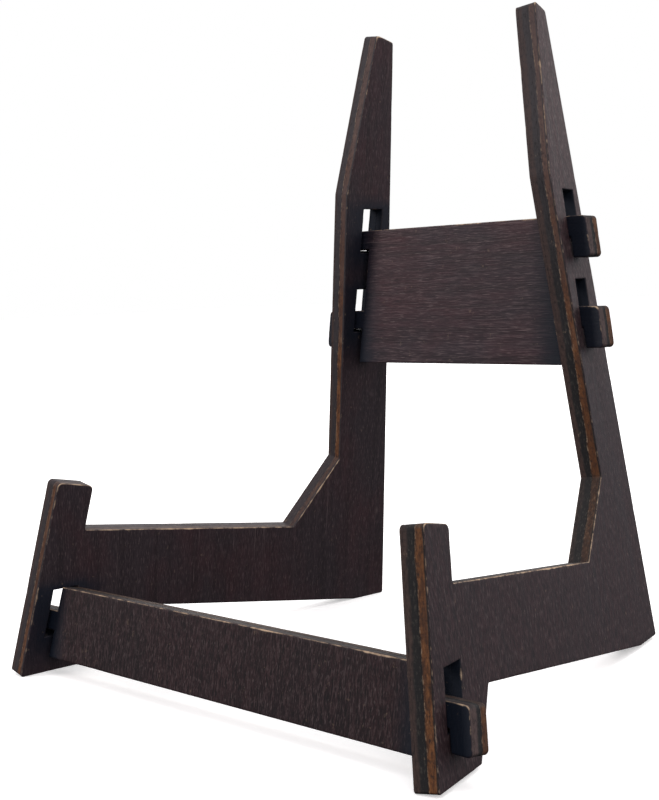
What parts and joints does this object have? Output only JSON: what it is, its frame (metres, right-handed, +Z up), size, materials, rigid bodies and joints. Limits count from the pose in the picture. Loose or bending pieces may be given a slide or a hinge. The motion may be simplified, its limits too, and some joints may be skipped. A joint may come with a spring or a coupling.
{
  "type": "plate display stand",
  "caption": "Slotted plywood stand that holds a plate upright: side boards with a low front post, a sloping shelf and a tall back arm, joined by hooked cross rails.",
  "frame": {"origin": "on the floor, under the middle of the stand", "axes": "+Z up, +Y from the front posts to the back arms, +X to the right seen from the front"},
  "size_m": [0.127, 0.1087, 0.1478],
  "materials": {
    "side_board_ply": "dark brown stain, satin, vertical grain",
    "rail_ply": "dark brown stain, satin"
  },
  "bodies": {
    "sides": {"left_side": "side_board_ply", "right_side": "side_board_ply"},
    "rear_rail": {"rear_rail": "rail_ply"},
    "front_rail": {"front_rail": "rail_ply"}
  },
  "joints": [
    {"name": "rear_rail_lift", "type": "slide", "parent": "sides", "child": "rear_rail", "axis": [0, 0.0175, 0.9998], "range_m": [0, 0.00534]},
    {"name": "front_rail_lift", "type": "slide", "parent": "sides", "child": "front_rail", "axis": [0, 0.1736, 0.9848], "range_m": [0, 0.0045]}
  ]
}
